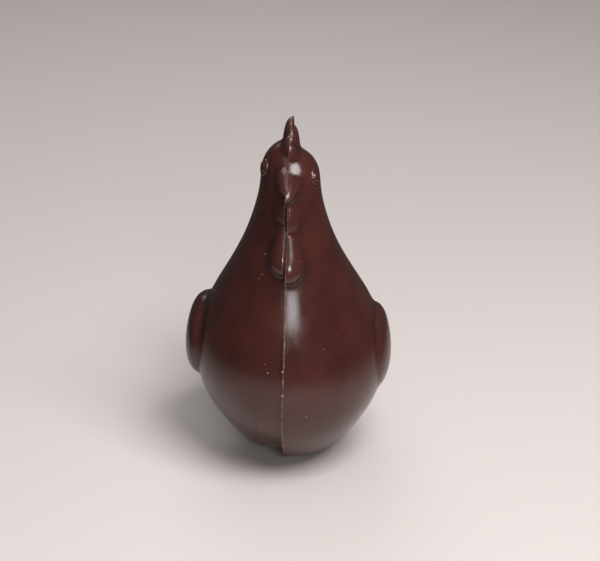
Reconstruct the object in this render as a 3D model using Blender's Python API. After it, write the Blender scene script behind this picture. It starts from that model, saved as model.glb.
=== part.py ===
"""A chocolate hen, cast in two half moulds that were pressed together slightly out of line.

Metres, +Z up. The hen faces -Y and stands on Z = 0, and its seam lies in the plane X = 0.
Sizes are written in millimetres and scaled once, when a mesh is made.
"""

import math

import bpy
import numpy as np

MM = 0.001

# The two half shells: the +X half sits lower and further forward than the -X half.
SEAM_DROP = 2.5
SEAM_LEAD = 1.6
SEAM_OVERLAP = 0.3  # how far each half reaches past the seam plane, so that they fuse
HALVES = (
    # side, shift in Y, shift in Z, thickness of the wing
    (+1, -SEAM_LEAD / 2, 0.0, 2.1),
    (-1, +SEAM_LEAD / 2, SEAM_DROP, 4.0),
)
LEAN = 0.6  # degrees that the hen leans towards +X

# Cross-sections of body and neck from the foot up: height, half width, front, back.
BODY_SECTIONS = (
    (0.0, 14.2, -11.5, 13.5),
    (3.0, 18.0, -17.2, 19.5),
    (8.0, 22.8, -24.6, 27.0),
    (15.0, 27.7, -31.8, 34.0),
    (25.0, 33.2, -37.8, 40.0),
    (36.0, 35.8, -40.2, 42.4),
    (47.0, 34.7, -39.2, 41.6),
    (57.0, 31.3, -36.6, 37.6),
    (67.0, 26.2, -32.7, 30.0),
    (77.0, 20.9, -28.6, 21.4),
    (87.0, 16.4, -25.2, 14.0),
    (97.0, 13.1, -22.8, 8.8),
    (105.0, 11.3, -21.4, 6.0),
)
HEAD_HEIGHT = 111.0  # centre of the head
HEAD_MIDDLE = -8.2
HEAD_HALF_WIDTH = 10.7
HEAD_HALF_LENGTH = 12.6
HEAD_CROWN = 11.5  # from the head's centre to its top

# Wattle and chin lobe, each from its rounded lower end up: height, half width, front, back.
WATTLE_SECTIONS = (
    (78.4, 0.0, -28.0, -28.0),
    (78.8, 3.0, -30.4, -23.0),
    (80.2, 5.3, -31.5, -17.5),
    (83.2, 6.5, -31.2, -13.5),
    (86.4, 6.1, -29.8, -12.4),
    (89.7, 5.4, -27.9, -11.5),
    (93.0, 4.6, -26.0, -11.0),
    (96.2, 4.0, -24.1, -10.6),
    (99.4, 3.6, -22.3, -10.4),
)
WATTLE_ROUNDNESS = 0.78  # power of its cross-section: 1 is round, less is flatter in front
CHIN_SECTIONS = (
    (95.4, 0.0, -23.1, -23.1),
    (95.8, 2.4, -24.1, -19.0),
    (97.0, 4.1, -24.75, -15.0),
    (99.2, 5.1, -24.75, -13.0),
    (102.0, 5.2, -24.1, -12.0),
    (105.0, 4.8, -23.1, -11.5),
    (109.0, 3.8, -21.5, -11.0),
)

BEAK_ROOT = (-17.0, 112.0)  # Y, Z
BEAK_TIP = (-31.0, 110.4)
BEAK_HALF_WIDTH = 4.6
BEAK_HALF_HEIGHT = 4.6
BEAK_FULLNESS = 1.7  # the higher, the blunter its tip

EYE_PLACE = (-26.0, 113.6)  # degrees behind the side, Z
EYE_RADIUS = 2.6
EYE_RISE = 1.5
EYE_SINK = 0.4

COMB_POINTS = 4
COMB_FROM, COMB_TO = 138.0, 12.0  # degrees round the head, from the beak side
COMB_ROOT = 6.0  # reach inside the head
COMB_RIM = 10.4  # reach at both ends
COMB_HEIGHT = 10.0
COMB_ARCH = 0.6  # the lower, the fuller its first and last point
COMB_VALLEY = 0.62  # share of the height between two points
COMB_HALF_THICKNESS = 3.4
COMB_TAPER = 0.25  # share of the thickness lost towards the rim

TAIL_ROOT = (16.0, 48.0)  # Y, Z
TAIL_FROM, TAIL_TO = 69.0, 12.0  # degrees above +Y, front edge to lower edge
TAIL_REACH = (28.0, 55.0)  # shortest and longest feather
TAIL_START = 0.22  # where in a half wave the front feather stands; the last one ends it
TAIL_INNER = 0.12  # share of the reach where the fan starts
TAIL_FEATHERS = 5
TAIL_NOTCH = 0.06  # share of the reach lost between two feathers
TAIL_RIDGE = 0.14  # share of the thickness lost there
TAIL_HALF_THICKNESS = (14.0, 3.2)  # at the root and at the edge

WING_CENTRE = (16.0, 39.3)  # degrees behind the side, Z
WING_HALF_LENGTH = 26.0
WING_HALF_HEIGHT = 20.8
WING_DROOP = 15.0  # degrees that the tip hangs below the shoulder
WING_LIFT = 1.25  # how much more its upper part stands out than its middle, and its lower part less
WING_SINK = 0.7
WING_FLATNESS, WING_EDGE = 8, 0.4  # powers of its profile: a flat top with a rounded edge

FOOT_RADIUS = 7.5  # chocolate that ran together under the raised half, set back from its rim
FOOT_HEIGHT = 8.0
FOOT_BACK = 3.5

BODY_GRID = (36, 24)  # rows up, columns from front to back
CHOCOLATE = (0.052, 0.0145, 0.0125, 1.0)


def spline(rows, count):
    """A natural cubic curve through the rows, read at evenly spaced places along its length."""
    rows = np.asarray(rows, float)
    knots = np.concatenate([[0.0], np.cumsum(np.linalg.norm(np.diff(rows, axis=0), axis=1))])
    gap = np.diff(knots)
    inner = np.arange(1, len(knots) - 1)
    system = np.eye(len(knots))
    system[inner, inner - 1] = gap[:-1]
    system[inner, inner] = 2 * (gap[:-1] + gap[1:])
    system[inner, inner + 1] = gap[1:]
    slopes = np.diff(rows, axis=0) / gap[:, None]
    right = np.zeros_like(rows)
    right[1:-1] = 6 * np.diff(slopes, axis=0)
    bend = np.linalg.solve(system, right)
    at = np.linspace(0.0, knots[-1], count)
    i = np.clip(np.searchsorted(knots, at, side="right") - 1, 0, len(gap) - 1)
    a = ((knots[i + 1] - at) / gap[i])[:, None]
    b = 1 - a
    curved = (a**3 - a) * bend[i] + (b**3 - b) * bend[i + 1]
    return a * rows[i] + b * rows[i + 1] + curved * gap[i][:, None] ** 2 / 6


def body_sections(count):
    """Sections of body, neck and head. The head closes as a quarter ellipse."""
    turn = np.radians(np.arange(0, 91, 15))
    half = HEAD_HALF_LENGTH * np.cos(turn)
    head = np.column_stack(
        [
            HEAD_HEIGHT + HEAD_CROWN * np.sin(turn),
            HEAD_HALF_WIDTH * np.cos(turn),
            HEAD_MIDDLE - half,
            HEAD_MIDDLE + half,
        ]
    )
    return spline(np.vstack([BODY_SECTIONS, head]), count)


def stacked(sections, columns, roundness=1.0):
    """Half-elliptical sections stacked up Z, as X, Y, Z grids. X is 0 on the seam.

    A roundness below 1 makes the sections boxier.
    """
    height, half_width, front, back = (column[:, None] for column in sections.T)
    turn = np.linspace(-math.pi / 2, math.pi / 2, columns + 1)
    across, along = np.abs(np.cos(turn)) ** roundness, np.abs(np.sin(turn)) ** roundness
    x = np.maximum(half_width, 0) * across
    y = (front + back) / 2 + (back - front) / 2 * np.sign(turn) * along
    return x, y, np.broadcast_to(height, y.shape)


def on_shell(turn, z, rise):
    """Points at an angle round the shell, 0 at its side and positive behind, raised square to it."""
    height, half_width, front, back = body_sections(400).T
    middle = np.interp(z, height, (front + back) / 2)
    half = np.interp(z, height, (back - front) / 2)
    width = np.interp(z, height, half_width)
    slope = np.hypot(half * np.cos(turn), width * np.sin(turn))
    x = width * np.cos(turn) + rise * half * np.cos(turn) / slope
    y = middle + half * np.sin(turn) + rise * width * np.sin(turn) / slope
    return x, y, z


def shell():
    rows, columns = BODY_GRID
    return stacked(body_sections(rows + 1), columns)


def wattle():
    return stacked(spline(WATTLE_SECTIONS, 15), 14, WATTLE_ROUNDNESS)


def chin():
    return stacked(spline(CHIN_SECTIONS, 13), 12)


def beak():
    """Half-elliptical sections that shrink along a gently hooked line from root to tip."""
    along = np.linspace(0.0, 1.0, 9)[:, None]
    turn = np.linspace(-math.pi / 2, math.pi / 2, 11)
    taper = np.sqrt(1 - along**BEAK_FULLNESS)
    middle = BEAK_ROOT[1] + (BEAK_TIP[1] - BEAK_ROOT[1]) * along**2
    x = BEAK_HALF_WIDTH * taper * np.cos(turn)
    y = BEAK_ROOT[0] + (BEAK_TIP[0] - BEAK_ROOT[0]) * along * np.ones_like(turn)
    z = middle + BEAK_HALF_HEIGHT * taper * np.sin(turn)
    return x, y, z


def comb():
    """A plate on the crown whose outer edge rises and falls in rounded points."""
    along = np.linspace(0.0, 1.0, 33)[:, None]
    out = np.linspace(0.0, 1.0, 7)
    angle = np.radians(COMB_FROM + (COMB_TO - COMB_FROM) * along)
    wave = np.abs(np.sin(math.pi * COMB_POINTS * along))
    rise = COMB_HEIGHT * np.sin(math.pi * along) ** COMB_ARCH * (COMB_VALLEY + (1 - COMB_VALLEY) * wave)
    reach = COMB_ROOT + (COMB_RIM - COMB_ROOT + rise) * out
    x = COMB_HALF_THICKNESS * np.sqrt(1 - out**4) * (1 - COMB_TAPER * out) * np.ones_like(along)
    y = HEAD_MIDDLE + reach * np.cos(angle)
    z = HEAD_HEIGHT + reach * np.sin(angle)
    return x, y, z


def tail():
    """A fan of feathers that spreads from a root inside the body and thins to its edge."""
    along = np.linspace(0.0, 1.0, 41)[:, None]
    out = np.linspace(0.0, 1.0, 10)
    angle = np.radians(TAIL_FROM + (TAIL_TO - TAIL_FROM) * along)
    short, long = TAIL_REACH
    valley = 1 - np.abs(np.sin(math.pi * TAIL_FEATHERS * along))
    reach = short + (long - short) * np.sin(math.pi * (TAIL_START + (1 - TAIL_START) * along))
    reach = reach * (1 - TAIL_NOTCH * valley) * (TAIL_INNER + (1 - TAIL_INNER) * out)
    root, edge = TAIL_HALF_THICKNESS
    x = (root + (edge - root) * out) * (1 - TAIL_RIDGE * valley)
    x = x * np.sqrt(1 - out**8) * np.sqrt(1 - np.abs(2 * along - 1) ** 8)
    y = TAIL_ROOT[0] + reach * np.cos(angle)
    z = TAIL_ROOT[1] + reach * np.sin(angle)
    return x, y, z


def pad(place, half_length, half_height, tip, droop):
    """An oval or, with a tip, a teardrop laid round the shell: its angles, heights, and 0 to 1 outwards."""
    around = np.linspace(math.pi, 0.0, 29)[:, None]
    across = np.sin(np.linspace(-math.pi / 2, math.pi / 2, 15))
    out = np.sqrt(np.cos(around) ** 2 + (np.sin(around) * across) ** 2)
    along = half_length * np.cos(around) * np.ones_like(across)
    up = half_height * np.sin(around) * np.sin(around / 2) ** tip * across
    fall = math.radians(droop)
    height, half_width, front, back = body_sections(400).T
    radius = np.interp(place[1], height, (half_width + (back - front) / 2) / 2)
    turn = math.radians(place[0]) + (along * math.cos(fall) + up * math.sin(fall)) / radius
    z = place[1] - along * math.sin(fall) + up * math.cos(fall)
    return turn, z, np.minimum(out, 1.0)


def wing(thickness):
    """A teardrop cushion that follows the shell: round at the shoulder, pointed at the tip."""
    turn, z, out = pad(WING_CENTRE, WING_HALF_LENGTH, WING_HALF_HEIGHT, 1, WING_DROOP)
    height = thickness + WING_LIFT * (z - WING_CENTRE[1]) / WING_HALF_HEIGHT + WING_SINK
    rise = height * (1 - out**WING_FLATNESS) ** WING_EDGE - WING_SINK
    return on_shell(turn, z, rise)


def eye():
    """A low round button on the side of the head."""
    turn, z, out = pad(EYE_PLACE, EYE_RADIUS, EYE_RADIUS, 0, 0)
    return on_shell(turn, z, EYE_RISE * np.sqrt(1 - out**2) - EYE_SINK)


def half_solid(name, grid, half):
    """One relief of a half mould as a closed solid: its face, and a flat back on the seam."""
    side, shift_y, shift_z, _ = half
    x, y, z = (np.asarray(axis, float) for axis in grid)
    rows, columns = x.shape
    face = np.stack([side * x, y + shift_y, z + shift_z], axis=-1).reshape(-1, 3)
    back = face.copy()
    back[:, 0] = -side * SEAM_OVERLAP
    for points in (face, back):
        points[:, 0] += points[:, 2] * math.tan(math.radians(LEAN))
    index = np.arange(rows * columns).reshape(rows, columns)
    quads = [index[:-1, :-1], index[1:, :-1], index[1:, 1:], index[:-1, 1:]]
    outer = np.stack(quads, axis=-1).reshape(-1, 4)
    rim = np.concatenate([index[0, :-1], index[:-1, -1], index[-1, :0:-1], index[:0:-1, 0]])
    after = np.roll(rim, -1)
    wall = np.stack([rim, after, after + len(face), rim + len(face)], axis=-1)
    faces = np.vstack([outer, outer[:, ::-1] + len(face), wall])
    mesh = bpy.data.meshes.new(name)
    mesh.from_pydata((np.vstack([face, back]) * MM).tolist(), [], faces.tolist())
    piece = bpy.data.objects.new(name, mesh)
    bpy.context.scene.collection.objects.link(piece)
    return piece


def clean(piece):
    """Merges the points that fall together at poles and closes, and turns all faces outwards."""
    bpy.context.view_layer.objects.active = piece
    bpy.ops.object.mode_set(mode="EDIT")
    bpy.ops.mesh.select_all(action="SELECT")
    bpy.ops.mesh.remove_doubles(threshold=0.00001)
    bpy.ops.mesh.dissolve_degenerate(threshold=0.000001)
    bpy.ops.mesh.normals_make_consistent(inside=False)
    bpy.ops.object.mode_set(mode="OBJECT")


def foot():
    bpy.ops.mesh.primitive_cylinder_add(
        vertices=32,
        radius=FOOT_RADIUS * MM,
        depth=FOOT_HEIGHT * MM,
        location=(0, FOOT_BACK * MM, FOOT_HEIGHT * MM / 2),
    )
    return bpy.context.object


def fused(pieces, name):
    """The first piece joined with all the others by one union; the others are then removed."""
    whole = pieces[0]
    others = bpy.data.collections.new("reliefs")
    for piece in pieces[1:]:
        others.objects.link(piece)
    union = whole.modifiers.new("fuse", "BOOLEAN")
    union.operation = "UNION"
    union.operand_type = "COLLECTION"
    union.collection = others
    union.solver = "MANIFOLD"
    bpy.context.view_layer.objects.active = whole
    bpy.ops.object.modifier_apply(modifier=union.name)
    for piece in pieces[1:]:
        bpy.data.objects.remove(piece)
    bpy.data.collections.remove(others)
    whole.name = name
    return whole


def centre_on_footprint(piece):
    """Moves the mesh so that the origin is the middle of its box, at the bottom."""
    points = np.empty(len(piece.data.vertices) * 3)
    piece.data.vertices.foreach_get("co", points)
    points = points.reshape(-1, 3)
    low, high = points.min(axis=0), points.max(axis=0)
    points -= [(low[0] + high[0]) / 2, (low[1] + high[1]) / 2, low[2]]
    piece.data.vertices.foreach_set("co", points.ravel())
    piece.data.update()


def chocolate():
    material = bpy.data.materials.new("dark_chocolate")
    material.use_nodes = True
    shader = material.node_tree.nodes["Principled BSDF"]
    shader.inputs["Base Color"].default_value = CHOCOLATE
    shader.inputs["Roughness"].default_value = 0.28
    shader.inputs["Metallic"].default_value = 0.0
    return material


def main():
    for left_over in list(bpy.data.objects):
        bpy.data.objects.remove(left_over)
    pieces = []
    for half in HALVES:
        for relief in (shell, wattle, chin, beak, comb, tail, eye):
            pieces.append(half_solid(relief.__name__, relief(), half))
        pieces.append(half_solid("wing", wing(half[3]), half))
    for piece in pieces:
        clean(piece)
    hen = fused(pieces + [foot()], "hen")
    centre_on_footprint(hen)
    hen.data.materials.clear()
    hen.data.materials.append(chocolate())
    hen.data.shade_smooth()
    hen.data.set_sharp_from_angle(angle=math.radians(35))


main()
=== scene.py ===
import math

import bmesh
import bpy
import numpy as np
from mathutils import Matrix, Vector


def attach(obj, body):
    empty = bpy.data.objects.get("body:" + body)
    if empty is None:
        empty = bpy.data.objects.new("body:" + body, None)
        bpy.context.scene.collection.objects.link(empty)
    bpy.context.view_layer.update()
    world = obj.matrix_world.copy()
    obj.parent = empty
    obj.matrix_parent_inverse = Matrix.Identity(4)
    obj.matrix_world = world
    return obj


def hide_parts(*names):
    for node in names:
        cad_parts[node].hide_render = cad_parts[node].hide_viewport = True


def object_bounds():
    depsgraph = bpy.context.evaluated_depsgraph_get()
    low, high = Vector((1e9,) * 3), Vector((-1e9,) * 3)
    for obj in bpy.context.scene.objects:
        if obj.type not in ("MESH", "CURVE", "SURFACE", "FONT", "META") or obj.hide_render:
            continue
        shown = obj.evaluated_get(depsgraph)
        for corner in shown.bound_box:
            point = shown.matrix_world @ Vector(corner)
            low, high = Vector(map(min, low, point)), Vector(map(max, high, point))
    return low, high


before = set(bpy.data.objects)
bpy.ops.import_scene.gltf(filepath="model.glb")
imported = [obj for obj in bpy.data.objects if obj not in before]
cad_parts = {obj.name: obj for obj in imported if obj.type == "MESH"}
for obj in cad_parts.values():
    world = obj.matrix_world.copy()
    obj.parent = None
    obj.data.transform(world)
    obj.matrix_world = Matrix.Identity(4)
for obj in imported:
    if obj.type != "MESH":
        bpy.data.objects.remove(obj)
cadLow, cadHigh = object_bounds()
scene = bpy.context.scene
mm = 0.001  # lengths below are in millimetres, and each mesh is scaled once, when it is made
print("frame loaded: the hen's solid is", [round(side / mm, 1) for side in cadHigh - cadLow], "mm")


# surfaces

def naturalCubic(rows, count):
    # a cubic through the rows with no bend at its ends, read at even steps along its length
    rows = np.asarray(rows, float)
    knots = np.concatenate([[0.0], np.cumsum(np.linalg.norm(np.diff(rows, axis=0), axis=1))])
    gap = np.diff(knots)
    inner = np.arange(1, len(knots) - 1)
    system = np.eye(len(knots))
    system[inner, inner - 1] = gap[:-1]
    system[inner, inner] = 2 * (gap[:-1] + gap[1:])
    system[inner, inner + 1] = gap[1:]
    right = np.zeros_like(rows)
    right[1:-1] = 6 * np.diff(np.diff(rows, axis=0) / gap[:, None], axis=0)
    bend = np.linalg.solve(system, right)
    at = np.linspace(0.0, knots[-1], count)
    i = np.clip(np.searchsorted(knots, at, side="right") - 1, 0, len(gap) - 1)
    a = ((knots[i + 1] - at) / gap[i])[:, None]
    b = 1 - a
    curved = (a**3 - a) * bend[i] + (b**3 - b) * bend[i + 1]
    return a * rows[i] + b * rows[i + 1] + curved * gap[i][:, None] ** 2 / 6


def stacked(sections, columns, power=1.0):
    # half ellipses stacked up Z: x = halfWidth cos(t)^power, y = middle + halfLength sin(t)^power, t from
    # front to back; a power below 1 makes them boxier
    height, halfWidth, front, back = (column[:, None] for column in sections.T)
    t = np.linspace(-math.pi / 2, math.pi / 2, columns + 1)
    x = np.maximum(halfWidth, 0) * np.abs(np.cos(t)) ** power
    y = (front + back) / 2 + (back - front) / 2 * np.sign(t) * np.abs(np.sin(t)) ** power
    return x, y, np.broadcast_to(height, y.shape)


def smoothStep(low, high, value):
    # 0 below low, 1 above high, 3k^2 - 2k^3 between
    k = np.clip((value - low) / (high - low), 0, 1)
    return k * k * (3 - 2 * k)


def between(limits, value):
    # rises from 0 at the first limit to 1 at the second, and falls from 1 at the third to 0 at the fourth
    start, full, fade, end = limits
    return smoothStep(start, full, value) * smoothStep(end, fade, value)


def valley(wave, width):
    # a rounded groove: 1 where the wave is 0, falling off as exp(-(wave / width)^2)
    return np.exp(-((wave / width) ** 2))


def mirroredSolid(grid):
    # the face, its mirror image across the seam, and a wall that joins their rims
    x, y, z = (np.asarray(axis, float) for axis in grid)
    rows, columns = x.shape
    face = np.stack([x, y, z], axis=-1).reshape(-1, 3)
    index = np.arange(rows * columns).reshape(rows, columns)
    quads = np.stack([index[:-1, :-1], index[1:, :-1], index[1:, 1:], index[:-1, 1:]], axis=-1)
    quads = quads.reshape(-1, 4)
    rim = np.concatenate([index[0, :-1], index[:-1, -1], index[-1, :0:-1], index[:0:-1, 0]])
    after = np.roll(rim, -1)
    wall = np.stack([rim, after, after + len(face), rim + len(face)], axis=-1)
    return np.vstack([face, face * [-1, 1, 1]]), np.vstack([quads, quads[:, ::-1] + len(face), wall])


def gathered(solids):
    # several lists of points and faces as one
    start = np.cumsum([0] + [len(points) for points, _ in solids])
    faces = [quads + offset for (_, quads), offset in zip(solids, start)]
    return np.vstack([points for points, _ in solids]), np.vstack(faces)


def addMesh(name, points, faces):
    # faces are an array of quads, or a list where their corners differ in number
    mesh = bpy.data.meshes.new(name)
    mesh.from_pydata((points * mm).tolist(), [], faces if isinstance(faces, list) else faces.tolist())
    thing = bpy.data.objects.new(name, mesh)
    scene.collection.objects.link(thing)
    return thing


def bake(thing):
    # the modifiers' result becomes the object's own mesh
    graph = bpy.context.evaluated_depsgraph_get()
    mesh = bpy.data.meshes.new_from_object(thing.evaluated_get(graph))
    thing.modifiers.clear()
    thing.data = mesh


def pointsOf(thing):
    points = np.empty(len(thing.data.vertices) * 3)
    thing.data.vertices.foreach_get("co", points)
    return points.reshape(-1, 3) / mm


def setPoints(thing, points):
    thing.data.vertices.foreach_set("co", (points * mm).ravel())
    thing.data.update()


# body, neck and head

body = {
    "sections": (  # height, half width, front, back
        (0.0, 14.2, -11.5, 13.5),
        (3.0, 18.0, -17.2, 19.5),
        (8.0, 22.8, -24.6, 27.0),
        (15.0, 27.7, -31.8, 34.0),
        (25.0, 33.2, -37.8, 40.0),
        (36.0, 35.8, -40.2, 42.4),
        (47.0, 34.7, -39.2, 41.6),
        (57.0, 31.3, -36.6, 37.6),
        (67.0, 26.2, -32.7, 30.0),
        (77.0, 20.9, -28.6, 21.4),
        (87.0, 16.4, -25.2, 14.0),
        (97.0, 13.1, -22.8, 8.8),
        (105.0, 11.3, -21.4, 6.0),
    ),
    "headHeight": 111.0,
    "headMiddle": -8.2,
    "headHalfWidth": 10.7,
    "headHalfLength": 12.6,
    "crown": 11.5,
    "rows": 260,
    "columns": 120,
    "lookUpRows": 900,  # rows in which its section at a height is looked up
}


def bodySections(count):
    # the head closes as a quarter ellipse
    t = np.radians(np.arange(0, 91, 15))
    half = body["headHalfLength"] * np.cos(t)
    head = [
        body["headHeight"] + body["crown"] * np.sin(t),
        body["headHalfWidth"] * np.cos(t),
        body["headMiddle"] - half,
        body["headMiddle"] + half,
    ]
    return naturalCubic(np.vstack([body["sections"], np.column_stack(head)]), count)


def shellAt(z):
    # half width, middle and half length of the shell's section at height z
    height, halfWidth, front, back = bodySections(body["lookUpRows"]).T
    return [np.interp(z, height, size) for size in (halfWidth, (front + back) / 2, (back - front) / 2)]


def shellRadius(z):
    # mean of the section's half width and half length at height z
    width, _, half = shellAt(z)
    return (width + half) / 2


def onShell(t, z, rise):
    # points at angle t round the shell, 0 at its side and positive behind, raised square to it
    width, middle, half = shellAt(z)
    slope = np.hypot(half * np.cos(t), width * np.sin(t))
    x = width * np.cos(t) + rise * half * np.cos(t) / slope
    y = middle + half * np.sin(t) + rise * width * np.sin(t) / slope
    return x, y, z


def shell():
    return stacked(bodySections(body["rows"]), body["columns"])


# wattles, chin lobes, beak and eyes

face = {
    "wattle": (  # height, half width, front, back
        (78.4, 0.0, -28.0, -28.0),
        (78.8, 3.0, -30.4, -23.0),
        (80.2, 5.3, -31.5, -17.5),
        (83.2, 6.5, -31.2, -13.5),
        (86.4, 6.1, -29.8, -12.4),
        (89.7, 5.4, -27.9, -11.5),
        (93.0, 4.6, -26.0, -11.0),
        (96.2, 4.0, -24.1, -10.6),
        (99.4, 3.6, -22.3, -10.4),
    ),
    "boxy": 0.78,  # how flat the wattles are in front; 1 is round
    "parting": (78.0, 82.0, 90.0, 96.0),  # groove between the wattles, heights: start, full, fading, end
    "partingDepth": (0.12, 0.15),  # on the -X and +X side
    "partingWidth": (1.6, 1.0),
    "crack": (0.8, 0.45),  # depth and width of the crack beside the seam, on the -X side
    "crackHeight": (76.0, 82.0, 105.0, 108.0),  # start, full, fading, end
    "grooved": -20.0,  # both grooves stay in front of this
    "chin": (
        (95.4, 0.0, -23.1, -23.1),
        (95.8, 2.4, -24.1, -19.0),
        (97.0, 4.1, -24.75, -15.0),
        (99.2, 5.1, -24.75, -13.0),
        (102.0, 5.2, -24.1, -12.0),
        (105.0, 4.8, -23.1, -11.5),
        (109.0, 3.8, -21.5, -11.0),
    ),
    "rows": 80,
    "columns": 60,
    "upperBeak": {"root": (-17.0, 113.0), "tip": (-31.0, 110.4), "halfWidth": 4.6, "halfHeight": 3.6},
    "lowerBeak": {"root": (-17.0, 109.4), "tip": (-28.2, 108.4), "halfWidth": 3.6, "halfHeight": 2.0},
    "beakTaper": 1.7,
    "beakRows": 40,
    "eyePlace": (-26.0, 113.6),  # degrees behind the side, height
    "eyeRadius": 3.2,
    "eyePlinth": 0.15,
    "pupil": (0.56, 0.95),  # share of the radius, rise
    "ring": (0.78, 0.09, 0.42),  # place and width as shares of the radius, rise
    "eyeRim": 0.88,  # share of the radius where the plinth starts to dip into the head
    "eyeSink": 0.6,
}


def wattle():
    return stacked(naturalCubic(face["wattle"], face["rows"]), face["columns"], face["boxy"])


def chin():
    return stacked(naturalCubic(face["chin"], face["rows"]), face["columns"])


def horn(beak):
    # half ellipses that shrink along a gently hooked line from root to tip
    along = np.linspace(0.0, 1.0, face["beakRows"])[:, None]
    t = np.linspace(-math.pi / 2, math.pi / 2, face["beakRows"])
    taper = np.sqrt(1 - along ** face["beakTaper"])
    middle = beak["root"][1] + (beak["tip"][1] - beak["root"][1]) * along**2
    x = beak["halfWidth"] * taper * np.cos(t)
    y = beak["root"][0] + (beak["tip"][0] - beak["root"][0]) * along * np.ones_like(t)
    z = middle + beak["halfHeight"] * taper * np.sin(t)
    return x, y, z


def pad(place, halfLength, halfHeight, tip, droop, around=80, across=80):
    # an oval or, with a tip, a teardrop laid round the shell: its angles and heights, and 0 to 1 outwards
    a = np.linspace(math.pi, 0.0, around)[:, None]
    b = np.sin(np.linspace(-math.pi / 2, math.pi / 2, across))
    out = np.minimum(np.sqrt(np.cos(a) ** 2 + (np.sin(a) * b) ** 2), 1.0)
    along = halfLength * np.cos(a) * np.ones_like(b)
    up = halfHeight * np.sin(a) * np.sin(a / 2) ** tip * b
    fall = math.radians(droop)
    t = math.radians(place[0]) + (along * math.cos(fall) + up * math.sin(fall)) / shellRadius(place[1])
    z = place[1] - along * math.sin(fall) + up * math.cos(fall)
    return t, z, out


def eye():
    # a domed button inside a raised ring, on a low round plinth whose rim dips into the head
    t, z, out = pad(face["eyePlace"], face["eyeRadius"], face["eyeRadius"], 0, 0)
    share, rise = face["pupil"]
    button = rise * np.sqrt(np.maximum(1 - (out / share) ** 2, 0))
    place, width, height = face["ring"]
    ring = height * np.exp(-(((out - place) / width) ** 2))
    level = face["eyePlinth"] + np.maximum(button, ring)
    return onShell(t, z, level - (level + face["eyeSink"]) * smoothStep(face["eyeRim"], 1.0, out))


# comb

comb = {
    "points": 4,
    "from": 138.0,  # degrees round the head, from the beak side
    "to": 12.0,
    "root": 6.0,  # reach inside the head
    "rim": 10.4,  # reach at both ends
    "height": 10.0,
    "arch": 0.6,  # the lower, the fuller its first and last point
    "valley": 0.62,  # share of the height between two points
    "halfThickness": 3.4,
    "taper": 0.25,  # share of the thickness lost towards the rim
    "groove": 0.26,  # share of the thickness lost between two points
    "grooveWidth": 0.4,
    "grooveFrom": (0.35, 0.8),  # share of the reach where the grooves start and where they are full
    "rimPower": 4,  # the higher, the blunter the rim
    "grid": (200, 40),  # along the arch, outwards
}


def combPlate():
    # a plate on the crown whose reach rises and falls as |sin| along its arch
    alongRows, outRows = comb["grid"]
    along = np.linspace(0.0, 1.0, alongRows)[:, None]
    out = np.linspace(0.0, 1.0, outRows)
    angle = np.radians(comb["from"] + (comb["to"] - comb["from"]) * along)
    arch = np.sin(math.pi * along) ** comb["arch"]
    wave = np.abs(np.sin(math.pi * comb["points"] * along))
    rise = comb["height"] * arch * (comb["valley"] + (1 - comb["valley"]) * wave)
    reach = comb["root"] + (comb["rim"] - comb["root"] + rise) * out
    groove = 1 - comb["groove"] * valley(wave, comb["grooveWidth"]) * smoothStep(*comb["grooveFrom"], out)
    x = comb["halfThickness"] * np.sqrt(1 - out ** comb["rimPower"]) * (1 - comb["taper"] * out) * groove
    y = body["headMiddle"] + reach * np.cos(angle)
    z = body["headHeight"] + reach * np.sin(angle)
    return x, y, z


# tail

tail = {
    "root": (16.0, 48.0),
    "from": 69.0,  # degrees above +Y
    "to": 12.0,
    "reach": (28.0, 55.0),  # shortest and longest feather
    "start": 0.22,  # where in a half wave the front feather stands; the last one ends it
    "feathers": 5,
    "notch": 0.06,  # share of the reach lost between two feathers
    "inner": 0.12,  # share of the reach where the fan starts
    "halfThickness": (14.0, 3.2),  # at the root and at the edge
    "ridge": 0.24,  # share of the thickness lost between two feathers
    "ridgePower": 0.7,  # the lower, the flatter the feathers and the sharper the grooves
    "rimPower": 8,  # the higher, the blunter the rim
    "grid": (26, 46),  # along each feather's width, outwards
}


def tailFan():
    # feathers that spread from a root inside the body and thin to their ends
    alongRows, outRows = tail["grid"]
    along = np.linspace(0.0, 1.0, alongRows * tail["feathers"] + 1)[:, None]
    out = np.sin(np.linspace(0.0, math.pi / 2, outRows))
    angle = np.radians(tail["from"] + (tail["to"] - tail["from"]) * along)
    short, long = tail["reach"]
    feather = np.abs(np.sin(math.pi * tail["feathers"] * along))
    reach = short + (long - short) * np.sin(math.pi * (tail["start"] + (1 - tail["start"]) * along))
    reach = reach * (1 - tail["notch"] * (1 - feather)) * (tail["inner"] + (1 - tail["inner"]) * out)
    root, edge = tail["halfThickness"]
    x = (root + (edge - root) * out) * (1 - tail["ridge"] * (1 - feather ** tail["ridgePower"]))
    x = x * np.sqrt(1 - out ** tail["rimPower"]) * np.sqrt(1 - np.abs(2 * along - 1) ** tail["rimPower"])
    y = tail["root"][0] + reach * np.cos(angle)
    z = tail["root"][1] + reach * np.sin(angle)
    return x, y, z


# wings

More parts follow.
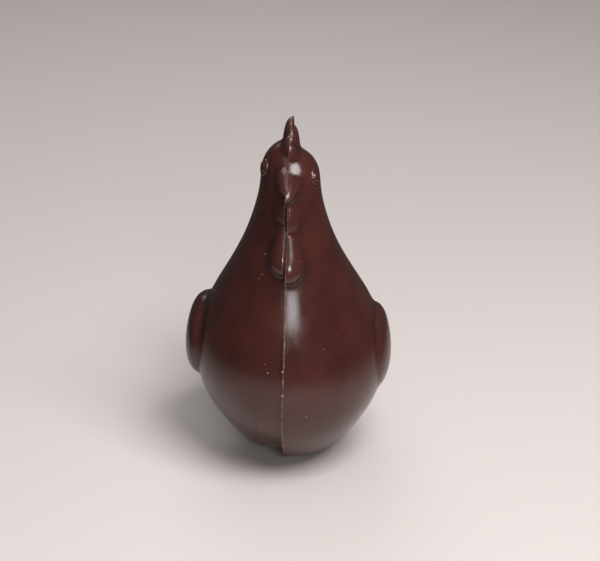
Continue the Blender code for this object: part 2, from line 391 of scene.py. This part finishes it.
wing = {
    "place": (16.0, 39.3),  # degrees behind the side, height
    "halfLength": 26.0,
    "halfHeight": 20.8,
    "tip": 1,  # power that draws its back end to a point; 0 leaves an oval
    "droop": 15.0,  # degrees
    "thickness": {1: 2.1, -1: 4.0},  # by side
    "lift": 1.25,  # how much more its upper part stands out, and its lower part less
    "sink": 0.7,
    "rows": ((-0.3, 3), (0.08, 4), (2.0, 5)),  # where each row ends, 1 at the tip, and its feathers
    "roundness": 0.15,  # how far the round end of a feather reaches back
    "bend": 0.12,  # how far a row's end runs forward at its two sides
    "rowPower": 0.7,  # the lower, the blunter the feathers' ends
    "step": 0.34,  # drop from one row to the next
    "stepRun": 0.04,  # half of the way along which it drops
    "groove": 0.42,  # depth between two feathers
    "grooveWidth": 0.42,
    "grooveFade": (0.92, 0.5),  # places along the wing where the grooves end and where they start to fade
    "rimFade": (0.97, 0.72),  # the same for the whole relief, from the middle outwards
    "rim": (8, 0.4),  # powers a and b of (1 - out^a)^b, which rounds off the pad's rim
    "grid": {"around": 160, "across": 110},
}


def wingPad(thickness):
    # a teardrop pad that stands out more above and sinks into the shell round its rim
    size = wing["halfLength"], wing["halfHeight"]
    t, z, out = pad(wing["place"], *size, wing["tip"], wing["droop"], **wing["grid"])
    height = thickness + wing["lift"] * (z - wing["place"][1]) / wing["halfHeight"] + wing["sink"]
    a, b = wing["rim"]
    return onShell(t, z, height * (1 - out**a) ** b - wing["sink"])


def onWing(points):
    # the inverse of pad(): each point's place along and across the wing, -1 to 1, and 0 to 1 outwards
    x, y, z = points.T
    width, middle, half = shellAt(z)
    t = np.arctan2((y - middle) / half, np.abs(x) / width)
    run = (t - math.radians(wing["place"][0])) * shellRadius(wing["place"][1])
    rise, fall = z - wing["place"][1], math.radians(wing["droop"])
    along = np.clip((run * math.cos(fall) - rise * math.sin(fall)) / wing["halfLength"], -1, 1)
    up = (run * math.sin(fall) + rise * math.cos(fall)) / wing["halfHeight"]
    sine = np.sqrt(np.maximum(1 - along**2, 1e-9))
    across = up / (sine * np.sqrt(np.maximum((1 - along) / 2, 1e-9)))
    return along, across, np.hypot(along, sine * across)


def feathered(across, count):
    # 1 on the middle line of each feather, 0 between two feathers
    return np.abs(np.sin(math.pi * count * (across + 1) / 2))


def featherDepth(points):
    # a plain shoulder, then rows of round-ended feathers that each lie a step under the row before
    along, across, out = onWing(points)
    depth, begun = np.zeros(len(points)), np.zeros(len(points))
    for place, count in wing["rows"]:
        wave = feathered(across, count)
        end = place + wing["roundness"] * wave ** wing["rowPower"] - wing["bend"] * across**2
        ended = smoothStep(end - wing["stepRun"], end + wing["stepRun"], along)
        groove = wing["groove"] * begun * (1 - ended) * smoothStep(*wing["grooveFade"], along)
        depth += wing["step"] * ended + groove * valley(wave, wing["grooveWidth"])
        begun = ended
    return depth * smoothStep(*wing["rimFade"], out)


# casting the two halves

cast = {
    "voxel": 0.665,
    "weld": 0.002,
    "soften": 5,  # passes that round every edge the way a polished mould does
    "softenFace": 9,  # more passes for wattles and chin
    "faceHeight": (70.0, 76.0, 106.0, 110.0),  # heights between which these passes work
    "faceFront": (-12.0, -18.0),  # Y where they set in and where they are full
    "drop": 2.5,  # the +X half sits this much lower
    "lead": 1.6,  # and this much further forward
    "overlap": 0.3,
    "lean": 0.6,  # degrees towards +X
    "footRadius": 7.5,
    "footHeight": 8.0,
    "footBack": 3.5,
    "footSides": 64,
    "beyond": 200.0,  # farther out than any point of the hen
}


def shifted(points, side):
    # a half's own slip along the seam, then the lean of the whole hen
    moved = points + [0, -side * cast["lead"] / 2, cast["drop"] * (side < 0)]
    moved[:, 0] += moved[:, 2] * math.tan(math.radians(cast["lean"]))
    return moved


def middleFinder(thing):
    # gives the middle of each point's neighbours along its edges
    edges = np.empty(len(thing.data.edges) * 2, int)
    thing.data.edges.foreach_get("vertices", edges)
    a, b = edges.reshape(-1, 2).T
    here, there, count = np.concatenate([a, b]), np.concatenate([b, a]), len(thing.data.vertices)
    share = 1 / np.bincount(here, minlength=count)

    def middle(points):
        sums = [np.bincount(here, weights=points[there, axis], minlength=count) for axis in range(3)]
        return np.column_stack(sums) * share[:, None]

    return middle


def soften(thing):
    # each pass moves a point half way to its neighbours' middle; the last ones work on the face alone
    middle, points = middleFinder(thing), pointsOf(thing)
    _, y, z = points.T
    onFace = between(cast["faceHeight"], z) * smoothStep(*cast["faceFront"], y)
    for step in range(cast["soften"] + cast["softenFace"]):
        share = 0.5 if step < cast["soften"] else 0.5 * onFace[:, None]
        points += share * (middle(points) - points)
    setPoints(thing, points)


def carve(thing):
    # feathers sunk into the wings, the groove that parts the wattles, and the crack beside the seam
    points = pointsOf(thing)
    normals = np.empty(len(points) * 3)
    thing.data.vertices.foreach_get("normal", normals)
    x, y, z = points.T
    depth = np.where(x < 0, *face["partingDepth"]) * valley(x, np.where(x < 0, *face["partingWidth"]))
    depth *= between(face["parting"], z)
    crack, width = face["crack"]
    depth += (x < 0) * crack * valley(x, width) * between(face["crackHeight"], z)
    carved = points - featherDepth(points)[:, None] * normals.reshape(-1, 3)
    carved[:, 1] += depth * (y < face["grooved"])
    setPoints(thing, carved)


def block(name, low, high):
    corner = np.array([[i, j, k] for i in (0, 1) for j in (0, 1) for k in (0, 1)])
    sides = np.array([[0, 1, 3, 2], [4, 6, 7, 5], [0, 4, 5, 1], [2, 3, 7, 6], [0, 2, 6, 4], [1, 5, 7, 3]])
    return addMesh(name, np.where(corner, high, low).astype(float), sides)


def joinBy(operation, thing, other):
    # a Boolean of two closed meshes; the second one is used up
    change = thing.modifiers.new(operation, "BOOLEAN")
    change.operation = operation
    change.object = other
    change.solver = "MANIFOLD"
    bake(thing)
    bpy.data.objects.remove(other)


def castHalf(side):
    # the cast of one half mould: one softened, carved skin, then the crisp forms, all cut off at the seam
    soft = [shell(), wattle(), chin(), horn(face["upperBeak"]), horn(face["lowerBeak"]), combPlate()]
    soft += [wingPad(wing["thickness"][side])]
    points, faces = gathered([mirroredSolid(grid) for grid in soft])
    half = addMesh("half", points, faces)
    skin = half.modifiers.new("skin", "REMESH")
    skin.mode = "VOXEL"
    skin.voxel_size = cast["voxel"] * mm
    bake(half)
    soften(half)
    carve(half)
    for crisp in (eye(), tailFan()):
        other = addMesh("crisp", *mirroredSolid(crisp))
        other.modifiers.new("weld", "WELD").merge_threshold = cast["weld"] * mm
        bake(other)
        points = np.vstack([points, pointsOf(other)])
        joinBy("UNION", half, other)
    near, far = -cast["overlap"], cast["beyond"]
    low, high = (near, far) if side > 0 else (-far, -near)
    joinBy("INTERSECT", half, block("mould", [low, -far, -far], [high, far, far]))
    reach = shifted(points[points[:, 0] * side >= 0], side)
    setPoints(half, shifted(pointsOf(half), side))
    return half, reach


def footPlug():
    # a short round column: the chocolate that ran together under the raised half
    count = cast["footSides"]
    t = np.linspace(0, 2 * math.pi, count, endpoint=False)
    x, y = cast["footRadius"] * np.cos(t), cast["footRadius"] * np.sin(t) + cast["footBack"]
    points = np.vstack([np.column_stack([x, y, 0 * t + height]) for height in (0.0, cast["footHeight"])])
    i = np.arange(count)
    after = np.roll(i, -1)
    walls = np.column_stack([i, after, after + count, i + count]).tolist()
    return addMesh("plug", points, walls + [i[::-1].tolist(), (i + count).tolist()])


rightHalf, rightReach = castHalf(1)
leftHalf, leftReach = castHalf(-1)
reach = np.vstack([rightReach, leftReach])
toFrame = np.array([
    (cadLow.x + cadHigh.x) / 2 / mm - (reach[:, 0].min() + reach[:, 0].max()) / 2,
    (cadLow.y + cadHigh.y) / 2 / mm - (reach[:, 1].min() + reach[:, 1].max()) / 2,
    0.0,
])
hen = rightHalf
hen.name = "chocolateHen"
joinBy("UNION", hen, leftHalf)
joinBy("UNION", hen, footPlug())
setPoints(hen, pointsOf(hen) + toFrame)
hen.data.calc_loop_triangles()
print("halves cast and joined:", len(hen.data.loop_triangles), "triangles")


# seam flash: the thin fin of chocolate squeezed out along the proud edge of the seam

flash = {
    "step": 0.35,
    "radius": (0.12, 0.3),  # thinnest, thickest
    "neck": (76.0, 86.0, 0.3),  # fades between these heights to this share
    "floor": 0.8,  # it stays this far above the floor
    "bury": 0.16,  # how deep its middle line lies
    "ragged": 1.7,  # mm between one thick place and the next
    "unevenness": 1.5,  # the higher, the rarer the thick places
    "end": 0.02,  # radius at its two ends
    "proudBy": 0.3,  # a half that stands out by this much draws the flash to its own edge
    "steady": 41,  # steps over which its middle line is evened out
    "feeler": (1.5, 0.15, 4.0),  # how the halves are felt: from how far out, how far aside, how deep
    "around": 8,
    "seed": 5,
}


def onSeam(y, z, aside=0.0):
    # a point of the leaning seam plane, or beside it
    return np.stack([toFrame[0] + aside + z * math.tan(math.radians(cast["lean"])), y, z], axis=-1)


def seamOutline():
    # the hen's outline in the seam plane: the edges of a cut, put in order by making them a curve
    cut = bmesh.new()
    cut.from_mesh(hen.data)
    everything = cut.verts[:] + cut.edges[:] + cut.faces[:]
    onPlane, square = onSeam(0.0, 0.0) * mm, (1.0, 0.0, -math.tan(math.radians(cast["lean"])))
    bmesh.ops.bisect_plane(
        cut, geom=everything, plane_co=onPlane, plane_no=square, clear_inner=True, clear_outer=True
    )
    line = bpy.data.objects.new("seamOutline", bpy.data.meshes.new("seamOutline"))
    cut.to_mesh(line.data)
    scene.collection.objects.link(line)
    bpy.ops.object.select_all(action="DESELECT")
    bpy.context.view_layer.objects.active = line
    line.select_set(True)
    bpy.ops.object.convert(target="CURVE")
    spline = max(line.data.splines, key=lambda spline: len(spline.points))
    points = np.empty(len(spline.points) * 4)
    spline.points.foreach_get("co", points)
    points = points.reshape(-1, 4)[:, :3] / mm
    bpy.data.objects.remove(line)
    y, z = points[:, 1], points[:, 2]
    if (y * np.roll(z, -1) - np.roll(y, -1) * z).sum() > 0:
        points = points[::-1]
    return np.roll(points, -int(np.argmin(points[:, 2])), axis=0)


def tube(path, across, up, radius):
    # rings, radius times (cos across + sin up), round each point of the path, and a face at both ends
    count, around = radius.shape
    turn = np.linspace(0, 2 * math.pi, around, endpoint=False)[:, None]
    spokes = np.cos(turn) * across[:, None] + np.sin(turn) * up[:, None]
    rings = path[:, None] + radius[..., None] * spokes
    index = np.arange(count * around).reshape(count, around)
    after = np.roll(index, -1, axis=1)
    sides = np.stack([index[:-1], after[:-1], after[1:], index[1:]], axis=-1).reshape(-1, 4)
    return rings.reshape(-1, 3), sides.tolist() + [index[0, ::-1].tolist(), index[-1].tolist()]


def depthBeside(path, up, side):
    # how far below a feeler's start one half lies, beside each point of the seam
    out, aside, deep = flash["feeler"]
    starts = (path + out * up + [side * (cast["overlap"] + aside), 0.0, 0.0]) * mm
    depths = []
    for start, aim in zip(starts, -up):
        found, spot, _, _ = hen.ray_cast(Vector(start), Vector(aim), distance=deep * mm)
        depths.append((Vector(start) - spot).length / mm if found else deep)
    return np.array(depths)


def seamFlash():
    edge = seamOutline()
    run = np.concatenate([[0.0], np.cumsum(np.linalg.norm(np.diff(edge, axis=0), axis=1))])
    at = np.arange(0.0, run[-1], flash["step"])
    path = np.column_stack([np.interp(at, run, axis) for axis in edge.T])
    path = path[path[:, 2] > flash["floor"]]
    tangent = np.gradient(path, axis=0)
    tangent /= np.linalg.norm(tangent, axis=1)[:, None]
    across = np.broadcast_to([1.0, 0.0, 0.0], path.shape)
    up = np.cross(tangent, across)
    up /= np.linalg.norm(up, axis=1)[:, None]
    proud = np.tanh((depthBeside(path, up, -1) - depthBeside(path, up, 1)) / flash["proudBy"])
    steady = flash["steady"]  # proud is 1 where the +X half stands out, and -1 where the other does
    for _ in range(2):
        longer = np.pad(proud, steady // 2, mode="edge")
        proud = np.convolve(longer, np.ones(steady) / steady, mode="valid")
    draw = np.random.default_rng(flash["seed"])
    length = flash["step"] * len(path)
    knots = np.arange(0.0, length + flash["ragged"], flash["ragged"])
    chance = draw.random(len(knots)) ** flash["unevenness"]
    thin, thick = flash["radius"]
    size = thin + (thick - thin) * np.interp(flash["step"] * np.arange(len(path)), knots, chance)
    low, high, share = flash["neck"]
    size *= 1 - (1 - share) * smoothStep(low, high, path[:, 2])
    size[[0, -1]] = flash["end"]
    path = path - flash["bury"] * up - cast["overlap"] * proud[:, None] * across
    radius = size[:, None] * np.ones(flash["around"])
    return addMesh("seamFlash", *tube(path, across, up, radius))


# crumbs caught on the seam and specks of chocolate dust on the skin

crumbs = {
    "seed": 11,
    "around": 10,
    "rings": 9,
    "rough": 0.3,  # how far a grain departs from round
    "blunt": 0.004,  # square of the share of its radius that is left at its two ends
    "slant": (0.31, 0.52, 0.79),  # any direction that a grain's own line is turned against
    "aside": 0.1,  # how far beside the seam plane its crumbs are dropped
    "onSeam": (  # height, size; in front
        (78.6, 0.75),
        (48.7, 0.9),
        (45.2, 0.4),
        (39.8, 0.95),
        (36.6, 0.45),
        (24.0, 0.4),
    ),
    "inFront": (  # x, height, size
        (-6.5, 87.0, 0.36),
        (-7.4, 80.2, 0.28),
        (-8.5, 78.4, 0.3),
        (-4.5, 47.4, 0.5),
        (9.3, 30.7, 0.45),
        (-7.5, 23.2, 0.34),
        (-8.5, 20.4, 0.4),
    ),
    "behind": ((28.0, 0.7), (92.0, 0.55)),  # height, size; on the seam at the back
    "dust": 46,  # pale specks strewn over the skin
    "dustSize": (0.14, 0.34),
    "dustHeight": (6.0, 96.0),
    "middle": -8.0,  # Y of the upright line that the dust falls towards
    "sink": 0.25,  # share of its size that a grain lies in the skin
}


def grain(centre, size, draw):
    # a short tube of rings with radii size sqrt(1 - s^2) / 2, each point pushed in or out at random
    along = np.linspace(-1.0, 1.0, crumbs["rings"])
    count = (crumbs["rings"], crumbs["around"])
    axis = draw.normal(size=3)
    axis /= np.linalg.norm(axis)
    across = np.cross(axis, crumbs["slant"])
    across /= np.linalg.norm(across)
    up = np.cross(axis, across)
    path = centre + size / 2 * along[:, None] * axis
    radius = size / 2 * np.sqrt(np.maximum(1 - along**2, crumbs["blunt"]))[:, None]
    radius = radius * (1 + crumbs["rough"] * draw.uniform(-1, 1, count))
    return tube(path, np.broadcast_to(across, path.shape), np.broadcast_to(up, path.shape), radius)


def grainSpots(draw):
    # where each grain is dropped from, which way, and its size: on the seam, in front, and dust all round
    spots, beyond = [], cast["beyond"]
    for rows, side in ((crumbs["onSeam"], -1), (crumbs["behind"], 1)):
        for height, size in rows:
            start = onSeam(np.array(beyond * side), np.array(height), crumbs["aside"] * side)
            spots.append((start, Vector((0, -side, 0)), size))
    for x, height, size in crumbs["inFront"]:
        spots.append((np.array([x, -beyond, height]), Vector((0, 1, 0)), size))
    low, high = crumbs["dustHeight"]
    for _ in range(crumbs["dust"]):
        turn, height = draw.uniform(0, 2 * math.pi), draw.uniform(low, high)
        size = draw.uniform(*crumbs["dustSize"])
        back = np.array([math.cos(turn), math.sin(turn), 0.0])
        spots.append((np.array([0.0, crumbs["middle"], height]) + beyond * back, Vector(-back), size))
    return spots


def looseGrains():
    # each grain falls onto the skin and sinks in a little
    draw = np.random.default_rng(crumbs["seed"])
    points, faces = [], []
    for start, aim, size in grainSpots(draw):
        _, spot, normal, _ = hen.ray_cast(Vector(start * mm), aim)
        centre = np.array(spot) / mm + np.array(normal) * size * (0.5 - crumbs["sink"])
        new, newFaces = grain(centre, size, draw)
        offset = sum(len(p) for p in points)
        points.append(new)
        faces += [[i + offset for i in face] for face in newFaces]
    return addMesh("crumbs", np.vstack(points), faces)


flashPiece = seamFlash()
grains = looseGrains()
print("seam flash and crumbs laid on the skin")


# finishes

def linear(code):
    # an sRGB hex colour as linear red, green, blue and alpha
    channels = [int(code[i:i + 2], 16) / 255 for i in (1, 3, 5)]
    return [c / 12.92 if c <= 0.04045 else ((c + 0.055) / 1.055) ** 2.4 for c in channels] + [1.0]


def addNode(material, kind, settings=None, **links):
    # one node, its settings by attribute or by input, and its links by input name, or in0, in1 and so on
    node = material.node_tree.nodes.new(kind)
    for key, value in (settings or {}).items():
        if key == "stops":  # both ends of a colour ramp: place, colour
            for element, (place, colour) in zip(node.color_ramp.elements, value):
                element.position = place
                element.color = colour
        elif isinstance(key, str) and hasattr(node, key):
            setattr(node, key, value)
        else:
            node.inputs[key].default_value = value
    for name, socket in links.items():
        entry = node.inputs[int(name[2:]) if name.startswith("in") else name]
        material.node_tree.links.new(socket, entry)
    return node


def newMaterial(name):
    material = bpy.data.materials.new(name)
    material.use_nodes = True
    return material, material.node_tree.nodes["Principled BSDF"]


def perMetre(size):
    # a noise scale whose features are about this many millimetres apart
    return 1 / (size * mm)


chocolate = {
    "deep": "#3A1B18",
    "light": "#47231E",
    "brownFrom": (0.35, 0.7),  # shares of the mottle where deep ends and light begins
    "rubbed": "#57342D",
    "ior": 1.55,
    "patterns": {  # mm between features, octaves, roughness, then how it is stretched and turned
        "mottle": (14.0, 3.0, 0.5, (1.0, 1.0, 1.0), (0.0, 0.0, 0.0)),  # slow change of the brown
        "wave": (9.0, 1.0, 0.5, (1.0, 1.0, 1.0), (0.0, 0.0, 0.0)),  # swells of the cast surface
        "grain": (0.5, 2.0, 0.5, (1.0, 1.0, 1.0), (0.0, 0.0, 0.0)),
        "scuff": (2.2, 4.0, 0.6, (1.0, 1.0, 0.25), (0.3, 0.5, 0.0)),  # rub marks
        "scratch": (0.3, 1.0, 0.5, (0.3 / 7, 0.3 / 7, 1.0), (0.0, 0.12, 0.0)),  # 0.3 mm wide, 7 mm long
    },
    "waveHeight": 0.05,  # mm
    "grainHeight": 0.004,  # mm
    "scuffed": (0.3, 0.75),  # shares of the scuff noise between which the roughness rises
    "roughness": (0.16, 0.28),
    "scratched": (0.69, 0.74),  # shares of the scratch noise between which a scratch shows
    "scratchWear": 0.4,  # how far a scratch shows the rubbed colour
    # painted shade: the dark colour laid into the crack beside the seam and into hollows
    "crack": "#1C0C0B",
    "crackShadePlace": (-1.0, -0.5),  # mm beside the seam plane, where the raised half ends in a crack; painted shade darkens this band
    "crackHeight": (71.0, 107.0),
    "dullness": 0.4,  # roughness that hollows and the crack add
    "relief": {"ridge": (1, 0.12), "hollow": (10, -0.35)},  # passes of smoothing, mm that count as full; the hollow share sets where shade is painted darker
    "sharpFrom": 60,  # degrees
}


def temperedDarkChocolate():
    # cast in a polished mould: a deep even brown, glossy, with slow swells and faint rub marks; shade is
    # painted dark into its hollows and into the crack beside the seam
    material, shader = newMaterial("temperedDarkChocolate")
    place = addNode(material, "ShaderNodeTexCoord").outputs["Object"]
    noise = {}
    for name, (size, detail, roughness, stretch, turn) in chocolate["patterns"].items():
        laid = addNode(material, "ShaderNodeMapping", {"Scale": stretch, "Rotation": turn}, Vector=place)
        settings = {"Scale": perMetre(size), "Detail": detail, "Roughness": roughness}
        node = addNode(material, "ShaderNodeTexNoise", settings, Vector=laid.outputs["Vector"])
        noise[name] = node.outputs["Fac"]
    relief = {
        name: addNode(material, "ShaderNodeAttribute", {"attribute_name": name}).outputs["Fac"]
        for name in chocolate["relief"]
    }

    # brown, paler where it is worn: on ridges and in scratches
    ends = zip(chocolate["brownFrom"], (linear(chocolate["deep"]), linear(chocolate["light"])))
    settings = {"stops": list(ends)}
    brown = addNode(material, "ShaderNodeValToRGB", settings, Fac=noise["mottle"]).outputs["Color"]
    low, high = chocolate["scratched"]
    settings = {"From Min": low, "From Max": high, "To Max": chocolate["scratchWear"]}
    scratch = addNode(material, "ShaderNodeMapRange", settings, Value=noise["scratch"]).outputs["Result"]
    worn = addNode(material, "ShaderNodeMath", {"operation": "MAXIMUM"}, in0=relief["ridge"], in1=scratch)
    settings = {"data_type": "RGBA", 7: linear(chocolate["rubbed"])}
    rubbed = addNode(material, "ShaderNodeMix", settings, in0=worn.outputs["Value"], in6=brown).outputs[2]

    # the crack: a band beside the leaning seam plane, between two heights, where shade is painted dark
    axes = addNode(material, "ShaderNodeSeparateXYZ", Vector=place)
    settings = {"operation": "MULTIPLY_ADD", 1: -math.tan(math.radians(cast["lean"]))}
    beside = addNode(material, "ShaderNodeMath", settings, in0=axes.outputs["Z"], in2=axes.outputs["X"])
    far, near = chocolate["crackShadePlace"]
    settings = {"operation": "COMPARE", 1: (toFrame[0] + (far + near) / 2) * mm, 2: (near - far) / 2 * mm}
    band = addNode(material, "ShaderNodeMath", settings, in0=beside.outputs["Value"]).outputs["Value"]
    low, high = chocolate["crackHeight"]
    settings = {"operation": "COMPARE", 1: (low + high) / 2 * mm, 2: (high - low) / 2 * mm}
    opened = addNode(material, "ShaderNodeMath", settings, in0=axes.outputs["Z"]).outputs["Value"]
    crack = addNode(material, "ShaderNodeMath", {"operation": "MULTIPLY"}, in0=band, in1=opened)

    # hollows and the crack get painted shade, a darker colour, and are also duller from added roughness
    crack, hollow = crack.outputs["Value"], relief["hollow"]
    paintedShadeAndDullness = addNode(material, "ShaderNodeMath", {"operation": "MAXIMUM"}, in0=crack, in1=hollow)
    paintedShadeAndDullness = paintedShadeAndDullness.outputs["Value"]
    settings = {"data_type": "RGBA", 7: linear(chocolate["crack"])}
    colour = addNode(material, "ShaderNodeMix", settings, in0=paintedShadeAndDullness, in6=rubbed).outputs[2]
    low, high = chocolate["scuffed"]
    least, most = chocolate["roughness"]
    settings = {"From Min": low, "From Max": high, "To Min": least, "To Max": most}
    gloss = addNode(material, "ShaderNodeMapRange", settings, Value=noise["scuff"]).outputs["Result"]
    settings = {"operation": "MULTIPLY_ADD", 1: chocolate["dullness"]}
    roughness = addNode(material, "ShaderNodeMath", settings, in0=paintedShadeAndDullness, in2=gloss).outputs["Value"]

    settings = {"Strength": 1.0, "Distance": chocolate["waveHeight"] * mm}
    swell = addNode(material, "ShaderNodeBump", settings, Height=noise["wave"]).outputs["Normal"]
    settings = {"Strength": 1.0, "Distance": chocolate["grainHeight"] * mm}
    fine = addNode(material, "ShaderNodeBump", settings, Height=noise["grain"], Normal=swell)
    surface = {"Base Color": colour, "Roughness": roughness, "Normal": fine.outputs["Normal"]}
    for socket, source in surface.items():
        material.node_tree.links.new(source, shader.inputs[socket])
    shader.inputs["IOR"].default_value = chocolate["ior"]
    return material


smeared = {
    "seamFlash": ("#5E3B32", "#96786A"),  # dark and pale end of each piece's colours
    "crumbs": ("#7E5A4C", "#BE9884"),
    "paleFrom": (0.35, 0.65),  # shares of the noise where the dark end stops and the pale one begins
    "roughness": 0.6,
    "ior": 1.5,
}


def driedChocolate(where):
    # chocolate smeared thin and rubbed off the seam: matt, dry and several shades paler
    material, shader = newMaterial(where + "Dry")
    place = addNode(material, "ShaderNodeTexCoord").outputs["Object"]
    settings = {"Scale": perMetre(flash["ragged"]), "Detail": 2.0}
    patch = addNode(material, "ShaderNodeTexNoise", settings, Vector=place).outputs["Fac"]
    ends = zip(smeared["paleFrom"], (linear(code) for code in smeared[where]))
    tan = addNode(material, "ShaderNodeValToRGB", {"stops": list(ends)}, Fac=patch).outputs["Color"]
    material.node_tree.links.new(tan, shader.inputs["Base Color"])
    shader.inputs["Roughness"].default_value = smeared["roughness"]
    shader.inputs["IOR"].default_value = smeared["ior"]
    return material


def standOut(thing, passes):
    # how far each point stands out of the skin after some passes of smoothing, along its normal
    points = pointsOf(thing)
    normals = np.empty(len(points) * 3)
    thing.data.vertices.foreach_get("normal", normals)
    middle, calm = middleFinder(thing), points
    for _ in range(passes):
        calm = middle(calm)
    return ((points - calm) * normals.reshape(-1, 3)).sum(axis=1)


# ridge shares take the paler rubbed colour; hollow shares take painted shade and more roughness
for name, (passes, full) in chocolate["relief"].items():
    share = hen.data.attributes.new(name, "FLOAT", "POINT")
    share.data.foreach_set("value", np.clip(standOut(hen, passes) / full, 0, 1))
hen.data.shade_smooth()
hen.data.set_sharp_from_angle(angle=math.radians(chocolate["sharpFrom"]))
hen.data.materials.clear()
hen.data.materials.append(temperedDarkChocolate())
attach(hen, "root")
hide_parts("hen")
for piece in (flashPiece, grains):
    piece.data.shade_smooth()
    piece.data.materials.append(driedChocolate(piece.name))
    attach(piece, "root")
print("hen finished")


# camera, floor and light

view = {
    "pitch": 22.93,  # degrees down
    "azimuth": 3.8,  # degrees to the hen's own left
    "focal": 1814.7,  # pixels
    "distance": 704.0,
    "frame": (600, 561),  # pixels
    "anchor": (0.0, -6.2, 0.0),  # a point under the hen
    "anchorPixel": (288.8, 438.2),
    "sensor": 36.0,
    "clip": (0.01, 50.0),  # metres
}


def placeCamera():
    pitch, azimuth = math.radians(view["pitch"]), math.radians(view["azimuth"])
    level = math.cos(pitch)
    ahead = Vector((-math.sin(azimuth) * level, math.cos(azimuth) * level, -math.sin(pitch)))
    across = Vector((math.cos(azimuth), math.sin(azimuth), 0.0))
    up = across.cross(ahead)
    u = (view["anchorPixel"][0] - view["frame"][0] / 2) / view["focal"] * view["distance"]
    v = (view["frame"][1] / 2 - view["anchorPixel"][1]) / view["focal"] * view["distance"]
    spot = (Vector(view["anchor"]) - view["distance"] * ahead - u * across - v * up) * mm
    data = bpy.data.cameras.new("camera")
    data.sensor_width = view["sensor"]
    data.lens = view["focal"] / view["frame"][0] * view["sensor"]
    data.clip_start, data.clip_end = view["clip"]
    camera = bpy.data.objects.new("camera", data)
    camera.matrix_world = Matrix.Translation(spot) @ Matrix((across, up, -ahead)).transposed().to_4x4()
    scene.collection.objects.link(camera)
    scene.camera = camera


floor = {
    "colour": "#D8CECB",
    "middle": -0.06,  # metres; where the rings below have their middle, before the hen
    "shown": (0.08, 0.27),  # the floor nearer than this shows in the gloss, and farther than that doesn't
    "rings": 30,  # thin rings in between, of which ever less shows
    "far": 4.0,
    "around": 96,
    "roughness": 0.55,
}


def flatRings(spans):
    # flat rings between pairs of radii, in metres
    radius = np.array(spans)[:, :, None] / mm
    turn = np.linspace(0, 2 * math.pi, floor["around"], endpoint=False)
    x, y = radius * np.cos(turn), radius * np.sin(turn) + floor["middle"] / mm
    index = np.arange(x.size).reshape(x.shape)
    after = np.roll(index, -1, axis=2)
    faces = np.stack([index[:, 0], index[:, 1], after[:, 1], after[:, 0]], axis=-1).reshape(-1, 4)
    return np.stack([x, y, 0 * x], axis=-1).reshape(-1, 3), faces


def paleFloor():
    # matt card; its outer part stays out of the gloss, as the dark of a studio would
    material, shader = newMaterial("mattCard")
    shader.inputs["Base Color"].default_value = linear(floor["colour"])
    shader.inputs["Roughness"].default_value = floor["roughness"]
    start, end = floor["shown"]
    edge = np.linspace(start, end, floor["rings"] + 1)
    split = edge[:-1] + (end - start) / floor["rings"] * np.linspace(1, 0, floor["rings"])
    for name, spans, shown in (
        ("floorNear", [(0.0, start), *zip(edge[:-1], split)], True),
        ("floorFar", [*zip(split, edge[1:]), (end, floor["far"])], False),
    ):
        card = addMesh(name, *flatRings(spans))
        card.data.materials.append(material)
        card.visible_glossy = shown


studio = {
    "aim": (0.0, 0.0, 0.06),  # metres
    "lights": {  # degrees right of the front, degrees up, distance and size in metres, watts
        "keyLight": (10.5, 25.0, 1.1, (0.36, 0.1), 2.8),
        "frontLight": (42.0, 56.0, 0.85, (0.5, 0.5), 7.8),
        "overheadLight": (0.0, 86.0, 1.2, (1.2, 1.2), 3.0),
        "backLight": (195.0, 42.0, 1.0, (0.6, 0.6), 1.8),
    },
    "air": "#D8D6D4",
    "airStrength": 0.085,
}


def softbox(name, azimuth, elevation, distance, size, watts):
    # a flat light aimed at the hen's middle
    a, e = math.radians(azimuth), math.radians(elevation)
    back = Vector((math.sin(a) * math.cos(e), -math.cos(a) * math.cos(e), math.sin(e)))
    data = bpy.data.lights.new(name, "AREA")
    data.shape = "RECTANGLE"
    data.size, data.size_y = size
    data.energy = watts
    lamp = bpy.data.objects.new(name, data)
    lamp.location = Vector(studio["aim"]) + back * distance
    lamp.rotation_mode = "QUATERNION"
    lamp.rotation_quaternion = (-back).to_track_quat("-Z", "Y")
    scene.collection.objects.link(lamp)


placeCamera()
paleFloor()
for name, row in studio["lights"].items():
    softbox(name, *row)
world = bpy.data.worlds.new("studio")
world.use_nodes = True
world.node_tree.nodes["Background"].inputs["Color"].default_value = linear(studio["air"])
world.node_tree.nodes["Background"].inputs["Strength"].default_value = studio["airStrength"]
scene.world = world
scene.view_settings.view_transform = "Standard"
print("camera, floor and light placed")
